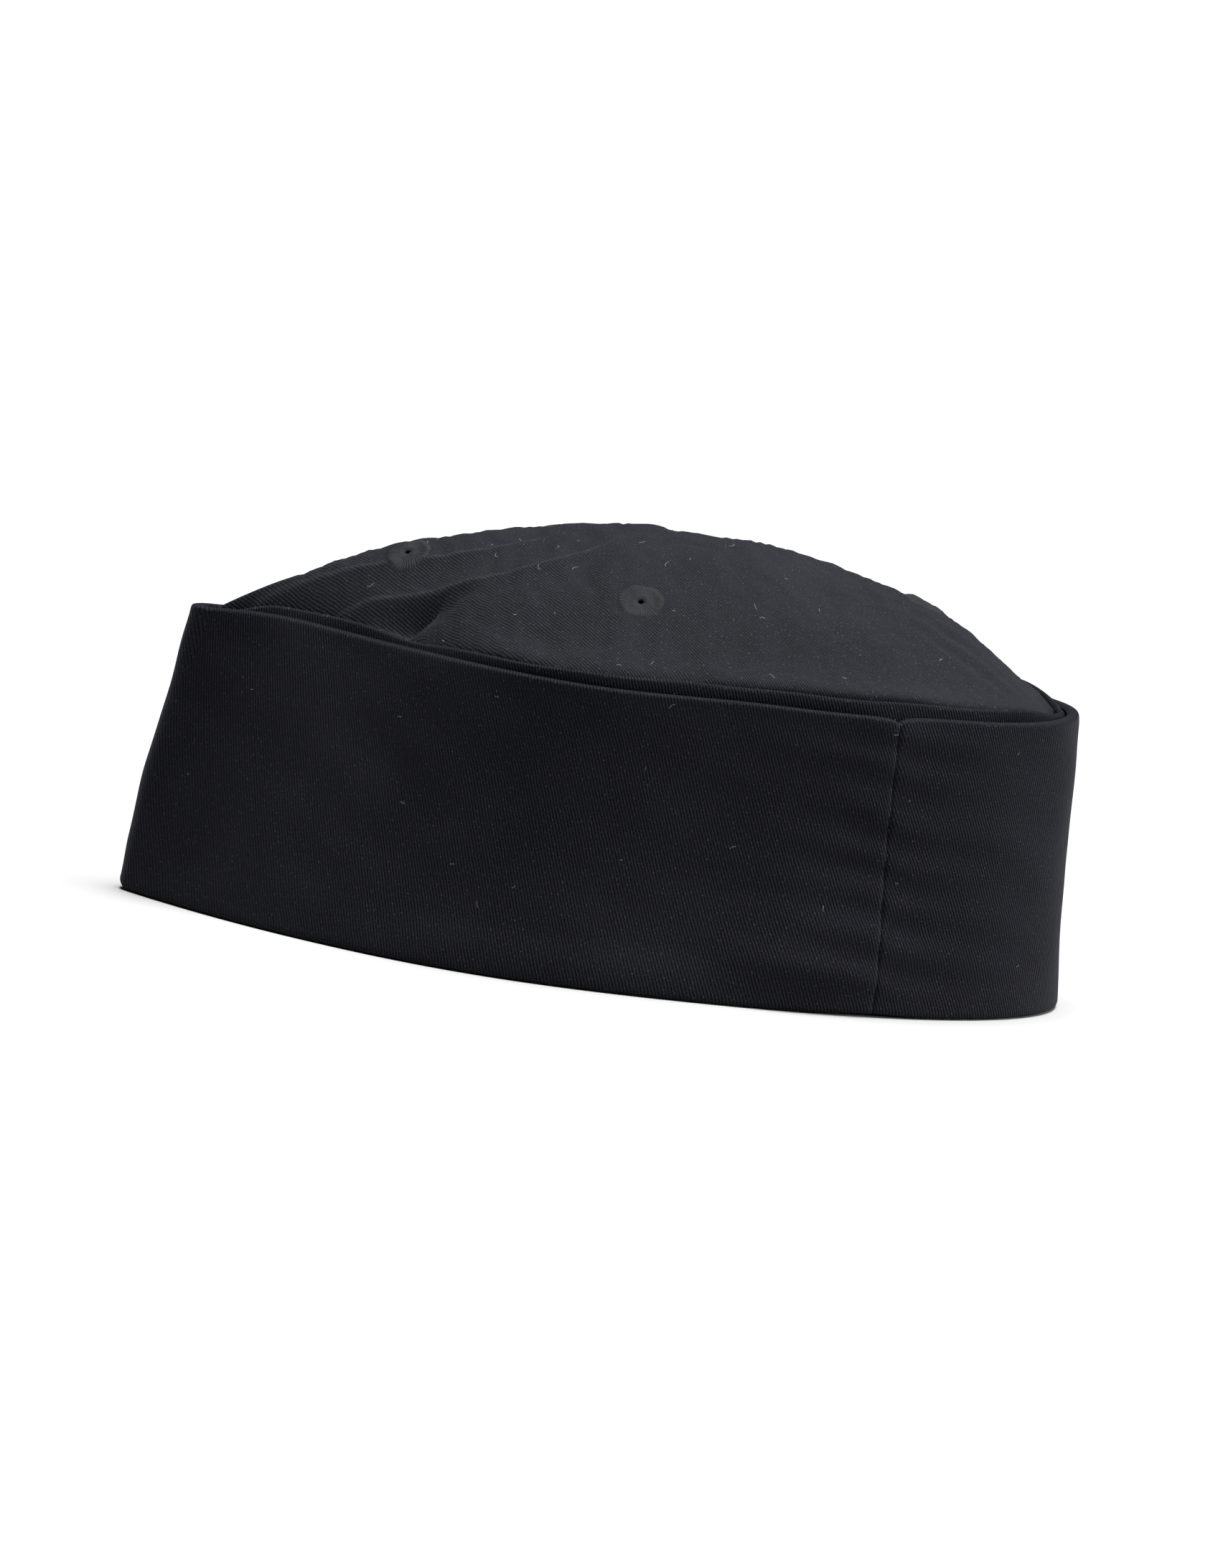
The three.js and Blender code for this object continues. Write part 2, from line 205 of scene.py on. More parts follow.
def grid_mesh(name, places, u, v, crease):
    """A cloth surface: places as columns by rows by 3, its own UV map in metres of cloth,
    and how far each point is from a pressed crease."""
    columns, rows = places.shape[:2]
    corner = np.arange(columns * rows).reshape(columns, rows)
    quads = np.stack([corner[:-1, :-1], corner[1:, :-1], corner[1:, 1:], corner[:-1, 1:]], -1)
    quads = quads.reshape(-1, 4)
    mesh = bpy.data.meshes.new(name)
    mesh.vertices.add(columns * rows)
    mesh.vertices.foreach_set("co", places.astype(np.float32).ravel())
    mesh.loops.add(quads.size)
    mesh.loops.foreach_set("vertex_index", quads.ravel().astype(np.int32))
    mesh.polygons.add(len(quads))
    mesh.polygons.foreach_set("loop_start", np.arange(0, quads.size, 4, dtype=np.int32))
    mesh.update(calc_edges=True)
    mesh.shade_smooth()
    cloth = np.stack(np.broadcast_arrays(u, v, places[..., 0])[:2], -1).reshape(-1, 2)
    layer = mesh.uv_layers.new(name="Cloth")
    layer.data.foreach_set("uv", cloth[quads.ravel()].astype(np.float32).ravel())
    crease = np.broadcast_to(crease, (columns, rows)).astype(np.float32)
    mesh.attributes.new("crease", "FLOAT", "POINT").data.foreach_set("value", crease.ravel())
    return mesh


def grid_object(name, places, u, v, crease=1.0):
    """The surface as a visible piece that rides on the cap's one body."""
    name = name + "_cloth"
    piece = bpy.data.objects.new(name, grid_mesh(name, places, u, v, crease))
    bpy.context.scene.collection.objects.link(piece)
    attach(piece, "root")
    return piece


def thicken(piece, thickness):
    """Half the thickness is added on each side of the surface."""
    solid = piece.modifiers.new("thickness", "SOLIDIFY")
    solid.thickness = thickness
    solid.offset = 0
    return piece


class Wire:
    """A shader socket that takes part in Python arithmetic."""

    def __init__(self, paint, socket):
        self.paint, self.socket = paint, socket

    def maths(self, operation, *values):
        return self.paint.node("ShaderNodeMath", {"operation": operation}, values)

    def __add__(self, other):
        return self.maths("ADD", self, other)

    def __sub__(self, other):
        return self.maths("SUBTRACT", self, other)

    def __rsub__(self, other):
        return self.maths("SUBTRACT", other, self)

    def __mul__(self, other):
        return self.maths("MULTIPLY", self, other)

    def __truediv__(self, other):
        return self.maths("DIVIDE", self, other)

    def __pow__(self, other):
        return self.maths("POWER", self, other)

    def __lt__(self, other):
        return self.maths("LESS_THAN", self, other)

    __radd__ = __add__
    __rmul__ = __mul__

    def wave(self):
        """From 0 to 1 and back, once for each whole step of this value."""
        return self.maths("SINE", self * (2 * math.pi)) * 0.5 + 0.5

    def floor(self):
        return self.maths("FLOOR", self)

    def __abs__(self):
        return self.maths("ABSOLUTE", self)

    def clamped(self):
        return self.paint.node("ShaderNodeClamp", {}, [self, 0.0, 1.0])


class Paint:
    """A material being made, with a Principled shader."""

    def __init__(self, name, **fixed):
        self.material = bpy.data.materials.new(name)
        self.material.use_nodes = True
        self.tree = self.material.node_tree
        self.shader = self.tree.nodes["Principled BSDF"]
        for key, value in fixed.items():
            socket = key.replace("_", " ").title().replace("Ior", "IOR")
            self.shader.inputs[socket].default_value = value

    def node(self, kind, settings, inputs, output=0):
        """A node of a kind: its settings first, then the values or wires of its sockets."""
        made = self.tree.nodes.new(kind)
        for key, value in settings.items():
            setattr(made, key, value)
        pairs = inputs.items() if isinstance(inputs, dict) else enumerate(inputs)
        for key, value in pairs:
            if isinstance(value, Wire):
                self.tree.links.new(value.socket, made.inputs[key])
            else:
                made.inputs[key].default_value = value
        return Wire(self, made.outputs[output])

    def feed(self, name, wire):
        self.tree.links.new(wire.socket, self.shader.inputs[name])

    def noise(self, place, size, detail=2.0):
        inputs = {"Vector": place, "Scale": 1 / size, "Detail": detail}
        return self.node("ShaderNodeTexNoise", {}, inputs)

    def blend(self, share, first, second):
        """A mix of two colours, whose sockets on the Mix node are numbers 6 and 7."""
        inputs = {0: share, 6: first, 7: second}
        return self.node("ShaderNodeMix", {"data_type": "RGBA"}, inputs, 2)

    def bump(self, height, distance):
        inputs = {"Height": height, "Distance": distance, "Strength": 1.0}
        self.feed("Normal", self.node("ShaderNodeBump", {}, inputs))


LINT = 0.00018  # a scrap of lint's thickness


def fibres(paint, place, apart, share):
    """1 on scattered scraps of lint: short bowed lines, each turned its own way, in a share
    of the cells of a grid so far apart."""
    split = "ShaderNodeSeparateXYZ"
    cell = {"Vector": place, "Scale": 1 / apart}
    chance = paint.node("ShaderNodeTexVoronoi", {"voronoi_dimensions": "2D"}, cell, "Color")
    middle = paint.node("ShaderNodeTexVoronoi", {"voronoi_dimensions": "2D"}, cell, "Position")
    away = paint.node("ShaderNodeVectorMath", {"operation": "SUBTRACT"}, [place, middle])
    x, y = (paint.node(split, {}, [away], axis) for axis in "XY")
    turn, bow, pick = (paint.node(split, {}, [chance], axis) for axis in "XYZ")
    turn = turn * (2 * math.pi)
    cosine, sine = turn.maths("COSINE", turn), turn.maths("SINE", turn)
    along, across = x * cosine + y * sine, y * cosine - x * sine
    line = abs(across - along * along * (bow - 0.5) * 1400)
    return (line < LINT / 2) * (abs(along) < bow * 0.0008 + 0.0003) * (pick < share)


# The first colour is painted along folds and creases, partly as wear and partly as a painted
# highlight where their edges catch the light; lint and specks are the cloth's own.
WEAR_AND_HIGHLIGHT_COLOUR, LINT_COLOUR = (0.034, 0.0355, 0.041, 1), (0.10, 0.105, 0.12, 1)
SPECK_COLOUR = (0.09, 0.095, 0.11, 1)


def twill(name, dark, light, wale, slant, ribbed, depth, lint, rough, gloss):
    """Cotton twill: slanting ridges a wale apart, each made of short floats of yarn that step
    along from ridge to ridge, with painted shade in the grooves between the ridges and floats, and
    with lint. It is paler along folds and creases, partly as wear and partly as a painted
    highlight where the light catches their edges. The two colours set how dark this copy is
    painted, so one cloth can be given a lit and a shaded copy."""
    paint = Paint(name, sheen_weight=0.03, sheen_roughness=0.35, specular_ior_level=gloss)
    paint.shader.inputs["Sheen Tint"].default_value = (0.75, 0.8, 1.0, 1.0)
    cloth = paint.node("ShaderNodeUVMap", {"uv_map": "Cloth"}, [])
    u, v = (paint.node("ShaderNodeSeparateXYZ", {}, [cloth], axis) for axis in "XY")
    slant = math.radians(slant)
    uneven = paint.noise(cloth, 0.006) * 0.5
    across = (u * math.cos(slant) + v * math.sin(slant)) / wale + uneven
    along = (v * math.cos(slant) - u * math.sin(slant)) / (wale * 0.7)
    ridge = across.wave()
    yarn = (along + across.floor() * 0.37).wave()
    height = ridge ** 0.7 * (yarn * 0.12 + 0.88) + paint.noise(cloth, 0.0007) * 0.35
    paint.bump(height, depth)
    patch = paint.noise(cloth, 0.03, 4.0)
    # Within 0.6 mm of a fold or crease the twill is painted paler: wear, and a painted highlight
    # where the light catches the edge.
    away = abs(paint.node("ShaderNodeAttribute", {"attribute_name": "crease"}, [], 2))
    wear_and_highlight = (1 - away / 0.0006).clamped() * paint.noise(cloth, 0.0013, 3.0)
    grain = paint.noise(cloth, 0.00045, 2.0) - 0.5
    # The colour runs from the dark one in the grooves between ridges and floats, which is painted
    # shade, to the light one on their tops. Random patches and grain are added to it.
    shade = (ridge * (yarn * 0.15 + 0.85) * ribbed + patch * 0.5 - 0.12 + grain * 1.5).clamped()
    colour = paint.blend(shade, dark, light)
    colour = paint.blend((wear_and_highlight * 0.8).clamped(), colour, WEAR_AND_HIGHLIGHT_COLOUR)
    colour = paint.blend(fibres(paint, cloth, 0.011, lint), colour, LINT_COLOUR)
    speck = (paint.noise(cloth, 0.0006, 1.0) - 0.64).clamped() * 5
    colour = paint.blend(speck.clamped() * 0.5, colour, SPECK_COLOUR)
    paint.feed("Base Color", colour)
    paint.feed("Roughness", rough - ridge * 0.08 + patch * 0.08)
    return paint.material


# The cuff's and wall's twill is painted darker than the crown's, as a shaded copy of the same
# cloth, because the upright band gets less of the top light.
SHADED_TWILL_DARK, SHADED_TWILL_LIGHT = (0.0024, 0.0025, 0.0037, 1), (0.0128, 0.0132, 0.0182, 1)
WALE = 0.0008  # between one slanting ridge and the next
shaded_black_twill = twill("shaded black twill", SHADED_TWILL_DARK, SHADED_TWILL_LIGHT, WALE, slant=22, ribbed=0.75,
                    depth=0.00017, lint=0.07, rough=0.60, gloss=0.04)


def cuff_profile():
    """The cuff's section, as how far out and how high: the turned-under bottom, the face,
    the rounded fold and the hidden leaf, with the share of the face that shows."""
    face = CUFF_OUT - CLOTH / 2
    bottom_round, fold_round = 0.0011, (face - CUFF_LEAF_IN) / 2
    bend = np.linspace(-math.pi / 2, 0, 6)
    over = np.linspace(0, math.pi, 15)
    lift = np.linspace(CLOTH / 2 + bottom_round, cuff_height - CLOTH / 2 - fold_round, 64)
    down = np.linspace(lift[-1], 0.0016, 14)
    turned = np.sign(np.cos(over)) * np.abs(np.cos(over)) ** 0.45
    out = np.concatenate([
        [CUFF_LEAF_IN + 0.0001, CUFF_LEAF_IN + 0.0006], face - bottom_round * (1 - np.cos(bend)),
        np.full(62, face), face - fold_round * (1 - turned), np.full(13, CUFF_LEAF_IN)])
    high = np.concatenate([
        [0.0007, 0.00045], lift[0] + bottom_round * np.sin(bend),
        lift[1:-1], lift[-1] + fold_round * np.sin(over) ** 0.6, down[1:]])
    return out, high


def seam_pull(length, high):
    """What a sewn seam does to the cuff: how far in it draws the cloth, and how far down,
    both falling with e to the power of minus the distance from the seam."""
    around = np.abs((length + round_length / 2) % round_length - round_length / 2)
    away = np.abs(around - seam_length)
    down = 0.0013 * np.exp(-away / 0.0024) * ease(high / cuff_height)
    down = down - 0.0006 * hump(away, 0.01) * (1 - high / cuff_height)
    return 0.00016 * np.exp(-away / 0.0010), down


def cuff_panel(name, start, end):
    """The section carried round the cap from one seam to the other."""
    out, high = cuff_profile()
    length = np.linspace(start, end, int((end - start) / 0.00125))[:, None]
    path = path_at(length)
    inward, down = seam_pull(length, high)
    shows = ease((out - CUFF_LEAF_IN) / (CUFF_OUT - CUFF_LEAF_IN)) * ease(high / 0.004)
    edge = 0.0004 * (1 + waves(length, length * 0, 0.05, 3)) * ease((high - 0.06) / 0.01)
    corner = 0.0012 * hump(length, 0.004) * ease(1 - high / 0.01)
    tall = np.maximum(high - down - edge + corner, CLOTH / 2)
    places = place(path, tall, out - inward * shows)
    v = np.append(0, np.cumsum(np.hypot(np.diff(out), np.diff(high))))
    # The distance from the fold's top, where the twill is painted paler: wear, and a painted
    # highlight on the fold's edge.
    fold = np.hypot(high - high.max(), out - out.max()) + 0.0002
    panel = grid_object(name, places, length, v, fold + 0 * length)
    panel.data.materials.append(shaded_black_twill)
    thicken(panel, CLOTH)
    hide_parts(name)


cuff_panel("cuff_front_panel", -seam_length, seam_length)
cuff_panel("cuff_back_panel", seam_length, round_length - seam_length)

# ---- Cuff stiffener ----
# Felted interlining inside the fold keeps the cuff upright. It is cut to the cuff's two
# panels and caught in their seams.

STIFFENER_MIDDLE = 0.0045  # out from the line inside every layer
STIFFENER_THICK = 0.0008


def felt(name, colour, other):
    """Felted or plain cotton: a soft colour with fine grain."""
    paint = Paint(name, roughness=0.95, sheen_weight=0.15)
    spot = paint.node("ShaderNodeTexCoord", {}, [], 3)
    grain = paint.noise(spot, 0.0011, 5.0)
    paint.feed("Base Color", paint.blend(grain, colour, other))
    paint.feed("Roughness", grain * 0.15 + 0.82)
    paint.bump(grain, 0.0002)
    return paint.material


white_felt = felt("interlining felt", (0.52, 0.51, 0.47, 1), (0.74, 0.73, 0.69, 1))


def stiffener(name, start, end):
    """An upright strip at one distance out, from seam to seam."""
    low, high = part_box(name)
    length = np.linspace(start + 0.001, end - 0.001, int((end - start) / 0.004))[:, None]
    rise = np.linspace(low.z, high.z - 0.001, 24)
    places = place(path_at(length), rise, STIFFENER_MIDDLE + 0 * length)
    piece = thicken(grid_object(name, places, length, rise), STIFFENER_THICK)
    piece.data.materials.append(white_felt)
    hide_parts(name)


stiffener("cuff_front_stiffener", -seam_length, seam_length)
stiffener("cuff_back_stiffener", seam_length, round_length - seam_length)

# ---- Side wall ----
# The cap's body: two panels of the same twill inside the cuff, sewn together down the front
# and the back. The top edge stands a little over the cuff's fold and rolls into the seam
# with the crown.

WALL_MIDDLE = WALL_OUT - CLOTH / 2
WALL_ROLL = 0.0005  # the roll's radius at the top
wall_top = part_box("side_wall_left")[1].z


def seam_height(x, y):
    """How high the wall meets the crown: highest behind the ears, low in the front half,
    dipping beside the crown's pocket on the left, and sinking inside the cuff at both tips."""
    rise = 0.0003 * hump(x - 0.070, 0.040) - 0.0008 * ease((0.020 - x) / 0.06)
    rise = rise + 0.0003 * waves(x, y, 0.03, 5)
    rise = rise - 0.0012 * hump(x + 0.052, 0.010) * (np.asarray(y) < 0)
    rise = rise - 0.0045 * (1 - ease((x - crown_low.x) / 0.020))
    return crown_low.z - 0.0014 + rise - 0.0025 * (1 - ease((crown_high.x - x) / 0.012))


def side_wall(name, start, end):
    """The wall's section, a turned-in foot, a straight rise and a rolled top, carried half
    way round the cap. Above the middle it is stretched to meet the crown's seam."""
    bend = np.linspace(-math.pi / 2, 0, 5)
    over = np.linspace(0, math.pi, 9)
    rise = np.linspace(0.0012, wall_top - 0.0009, 30)
    out = np.concatenate([
        WALL_MIDDLE + 0.0008 * (1 - np.cos(bend)), np.full(28, WALL_MIDDLE),
        WALL_MIDDLE - WALL_ROLL * (1 - np.cos(over)), [WALL_MIDDLE - 2 * WALL_ROLL] * 2])
    high = np.concatenate([
        rise[0] + 0.00085 * np.sin(bend), rise[1:-1], rise[-1] + WALL_ROLL * np.sin(over),
        [rise[-1] - 0.0004, rise[-1] - 0.0008]])
    length = np.linspace(start, end, int((end - start) / 0.0015))[:, None]
    away = np.minimum(np.abs(length - start), np.abs(length - end))
    out = out - 0.0006 * np.exp(-away / 0.0012)
    seam = place(path_at(length), wall_top, WALL_MIDDLE - 2 * WALL_ROLL)
    stand = seam_height(seam[..., 0], seam[..., 1]) - (wall_top - 0.0018)
    high = high + stand * ease((high - cuff_height / 2) / (cuff_height / 2))
    places = place(path_at(length), high, out)
    # The distance from the wall's rolled top, where the twill is painted paler: wear, and a
    # painted highlight on the roll.
    crease = np.hypot(wall_top - high, WALL_MIDDLE - out) + 0.0003
    piece = grid_object(name, places, length, high + 0 * length, crease)
    piece.data.materials.append(shaded_black_twill)
    thicken(piece, CLOTH)
    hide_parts(name)


side_wall("side_wall_left", 0.0, round_length / 2)
side_wall("side_wall_right", -round_length / 2, 0.0)

# ---- Crown ----
# An oval of twill sewn to the wall's top edge. It stands as a soft dome, drawn into a ridge
# at the pinched front, with a pocket fallen in on the left and loose cloth over the seam.

CROWN_SEAM_OUT = 0.0009  # its sewn edge, out from the line inside every layer
FRONT_FULL, BACK_FULL, SIDE_FULL = 2.1, 2.9, 1.84  # powers: a higher one is a blunter end
DOME_RISE = 0.0316  # over the cuff's fold
DOME_FRONT, DOME_BACK = 0.104, 0.105  # where it comes down to the fold, from its middle

crown_middle = (crown_high.x + crown_low.x) / 2
edge_path = np.linspace(0, HALF_PATH, 4001)
edge_place = place(edge_path, crown_low.z, CROWN_SEAM_OUT)
crown_front, crown_back = edge_place[0, 0], edge_place[-1, 0]


def crown_half_width(x):
    """From the middle line to the seam, at a distance along the cap."""
    return np.interp(x, edge_place[:, 0], np.abs(edge_place[:, 1]))


class Crease:
    """A pressed fold of the crown, along a smooth curve through a few points of its plan."""

    def __init__(self, *points):
        x, y = np.array(points).T
        self.start, self.end = x[0], x[-1]
        self.curve = np.polynomial.Polynomial.fit(x, y, 3)

    def away(self, x, y):
        return y - self.curve(np.clip(x, self.start - 0.003, self.end + 0.003))

    def shape(self, x, y, near, far):
        """A sharp crest with a dip on each side. near and far are the dip's depth and its
        distance on the left and on the right: with a the distance in those units, the dip
        is a times e to the power of 1 less a. It fades out towards the ends."""
        away = self.away(x, y)
        depth = np.where(away < 0, near[0], far[0])
        share = np.sqrt((away / np.where(away < 0, near[1], far[1])) ** 2 + 0.01) - 0.1
        fade = ease((x - self.start) / 0.014 + 0.5) * ease((self.end - x) / 0.014 + 0.5)
        return -depth * fade * share * np.exp(1 - share)

    def pressed(self, x, y):
        """How far a point is from the fold, and further where the fold has faded out."""
        past = np.maximum(self.start - x, 0) + np.maximum(x - self.end, 0)
        return np.abs(self.away(x, y)) + 0.1 * past


front_crease = Crease((-0.0935, -0.0011), (-0.0816, -0.0027), (-0.0614, -0.0068),
                      (-0.0481, -0.0092), (-0.0341, -0.0085), (-0.0250, -0.0050))
pocket_crease = Crease((-0.0703, -0.0111), (-0.058, -0.0154), (-0.0509, -0.0176),
                       (-0.0334, -0.0215), (-0.0200, -0.0200), (-0.0072, -0.0135))


def crown_height(x, y):
    """The dome: a ridge line that falls to both ends, times a fall to both sides, and then
    the folds and hollows that the loose cloth has taken."""
    behind = x > crown_middle
    share = np.abs(x - crown_middle) / np.where(behind, DOME_BACK, DOME_FRONT)
    ridge = cuff_height + DOME_RISE * (1 - share ** np.where(behind, BACK_FULL, FRONT_FULL))
    half = np.maximum(crown_half_width(x), 0.0004)
    across = np.clip(np.abs(y) / half, 0, 1)
    seam = seam_height(x, y)
    ridge = ridge + 0.0016 * hump(x - 0.030, 0.027) - 0.0008 * hump(x + 0.045, 0.03)
    rise = np.maximum(ridge - seam, 0) * (1 - across ** SIDE_FULL)
    inset = (1 - across) * half
    inside = ease(inset / 0.009)
    folds = front_crease.shape(x, y, (0.0012, 0.005), (0.0006, 0.004))
    folds = folds + pocket_crease.shape(x, y, (0.0012, 0.005), (0.0008, 0.005))
    folds = folds + 0.0013 * waves(x, y, 0.045, 11) + 0.0002 * waves(x, y, 0.014, 12)
    drag_line = y + 0.0165 + 0.04 * (x - 0.064)
    drag = np.cos(drag_line / 0.0011) * hump(drag_line, 0.007) * hump(x - 0.084, 0.016)
    folds = folds + 0.0005 * drag
    below = -pocket_crease.away(x, y)
    valley = x + 0.0455 - 1.6 * (y + 0.019)
    bank = 0.62 * ease(valley / 0.003) + 0.38 * ease(valley / 0.018)
    lobe = ease((x + 0.074) / 0.014) * (1 - bank)
    pocket = 0.86 * lobe * ease(below / 0.0042)
    return seam + (rise + folds * inside) * (1 - pocket)


EDGE_ROLL = 0.0020  # how far in from the seam the loose cloth stands highest


def crown_surface(x, y):
    """The dome with its rolled edge: close to the seam the cloth swells out and up, by the
    distance in times e to the power of 1 less that distance, in units of EDGE_ROLL."""
    half = crown_half_width(x)
    inset = np.maximum(half - np.abs(y), 0)
    swell = inset / EDGE_ROLL * np.exp(1 - inset / EDGE_ROLL)
    loose = 0.6 + 1.3 * hump(x - 0.062, 0.028) + 0.3 * waves(x, y, 0.03, 13)
    loose = loose - 0.5 * hump(x + 0.054, 0.014) * (y < 0)
    room = ease((half - 0.004) / 0.020)
    side = np.sign(y)
    return np.stack([
        x + 0.0003 * swell * room * waves(x, y, 0.02, 14),
        y + side * 0.0012 * swell * loose * room,
        crown_height(x, y) + 0.0010 * swell * loose * room], -1)


def crown_grid(columns, rows):
    """Plan points of the crown: stations along it, closer at the tips, and places across."""
    s = np.linspace(0, 1, columns)[:, None]
    t = np.linspace(-1, 1, rows)[None, :]
    x = (crown_front + crown_back) / 2 + (crown_front - crown_back) / 2 * np.cos(math.pi * s)
    return x + 0 * t, np.sin(math.pi / 2 * t) * crown_half_width(x)


def between(table, x, y):
    """The value at a plan point of a table laid out as crown_grid is, in straight lines
    from one of its points to the next."""
    columns, rows = table.shape
    share = (2 * x - crown_front - crown_back) / (crown_front - crown_back)
    s = np.arccos(np.clip(share, -1, 1)) / math.pi * (columns - 1)
    half = np.maximum(crown_half_width(x), 0.0004)
    t = (np.arcsin(np.clip(y / half, -1, 1)) / math.pi + 0.5) * (rows - 1)
    i, j = np.clip(s.astype(int), 0, columns - 2), np.clip(t.astype(int), 0, rows - 2)
    s, t = s - i, t - j
    low = table[i, j] * (1 - t) + table[i, j + 1] * t
    high = table[i + 1, j] * (1 - t) + table[i + 1, j + 1] * t
    return low * (1 - s) + high * s


HOLD_LEVELS = 20  # steps of grip, from the free middle to the sewn edge


def drape(columns, rows, frames):
    """How far the crown sinks and buckles when Blender's cloth lets it settle: a panel cut a
    little roomy, sewn fast at its edge and elsewhere held loosely in its creased shape."""
    x, y = crown_grid(columns, rows)
    mesh = grid_mesh("drape", crown_surface(x, y), 0, 0, 1.0)
    piece = bpy.data.objects.new("drape", mesh)
    bpy.context.scene.collection.objects.link(piece)
    inset = crown_half_width(x) - np.abs(y)
    grip = np.round(HOLD_LEVELS * (1 - ease((inset - 0.001) / 0.004))).ravel()
    group = piece.vertex_groups.new(name="hold")
    for level in range(HOLD_LEVELS + 1):
        held = np.flatnonzero(grip == level).tolist()
        group.add(held, 0.42 + 0.58 * level / HOLD_LEVELS, "REPLACE")
    cloth = piece.modifiers.new("drape", "CLOTH")
    cloth.settings.quality = 8
    cloth.settings.mass = 0.02
    cloth.settings.tension_stiffness = cloth.settings.compression_stiffness = 25
    cloth.settings.bending_stiffness = 0.6
    cloth.settings.shrink_min = cloth.settings.shrink_max = -0.02
    cloth.settings.vertex_group_mass = "hold"
    cloth.settings.pin_stiffness = 0.6
    cloth.point_cache.frame_start, cloth.point_cache.frame_end = 1, frames
    for frame in range(1, frames + 1):
        bpy.context.scene.frame_set(frame)
    settled = piece.evaluated_get(bpy.context.evaluated_depsgraph_get()).to_mesh()
    after = np.empty(columns * rows * 3, np.float32)
    settled.vertices.foreach_get("co", after)
    before = np.empty_like(after)
    mesh.vertices.foreach_get("co", before)
    bpy.data.objects.remove(piece)
    bpy.data.meshes.remove(mesh)
    bpy.context.scene.frame_set(1)
    return np.clip((after - before).reshape(columns, rows, 3)[..., 2], -0.0015, 0.0015)


sunk = drape(121, 81, 14)


def crown_cloth():
    """The settled crown as a fine grid, with the cloth's length across it."""
    x, y = crown_grid(270, 157)
    places = crown_surface(x, y)
    places[..., 2] += between(sunk, x, y)
    step = np.linalg.norm(np.diff(places, axis=1), axis=2)
    v = np.concatenate([np.zeros((len(x), 1)), np.cumsum(step, axis=1)], 1)
    return places, x, v - v[:, 78:79]


EYELET_SLIP = Vector((0, -0.005, 0))  # the front one has come off the middle line
CROWN_HOLE = 0.0026  # the radius that is cut away inside an eyelet
EYELETS = {name: (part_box(name)[0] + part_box(name)[1]) / 2
           for name in ("eyelet_front", "eyelet_left", "eyelet_back", "eyelet_right")}
EYELETS["eyelet_front"] += EYELET_SLIP
places, u, v = crown_cloth()
x, y = places[..., 0], places[..., 1]
# The distance from the pressed creases, where the twill is painted paler: wear, and a painted
# highlight along the crease lines.
wear_and_highlight = np.minimum(front_crease.pressed(x, y), pocket_crease.pressed(x, y))
crown = grid_object("crown_panel", places, u, v, wear_and_highlight)
shape = bmesh.new()
shape.from_mesh(crown.data)
holes = [f for f in shape.faces if any(
    (f.calc_center_median().xy - spot.xy).length < CROWN_HOLE for spot in EYELETS.values())]
bmesh.ops.delete(shape, geom=holes, context="FACES")
bmesh.ops.remove_doubles(shape, verts=shape.verts, dist=1e-6)
shape.to_mesh(crown.data)
shape.free()
# The crown's twill is the same cloth painted lighter, as a lit copy, because the crown faces up to
# the top light.
crown.data.materials.append(twill(
    "lit black crown twill", (0.0037, 0.0041, 0.0058, 1), (0.0164, 0.0178, 0.0238, 1),
    0.85 * WALE, slant=40, ribbed=0.35, depth=0.00009, lint=0.3, rough=0.85, gloss=0.12))
thicken(crown, CLOTH)
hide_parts("crown_panel")

# ---- Eyelets ----
# Vent holes worked over with satin stitch in black thread, so that each is a thick round
# ring of radial threads on both faces of the cloth.

EYELET_OUTER, EYELET_HOLE = 0.0061, 0.0006
THREADS = 52  # stitches round the ring


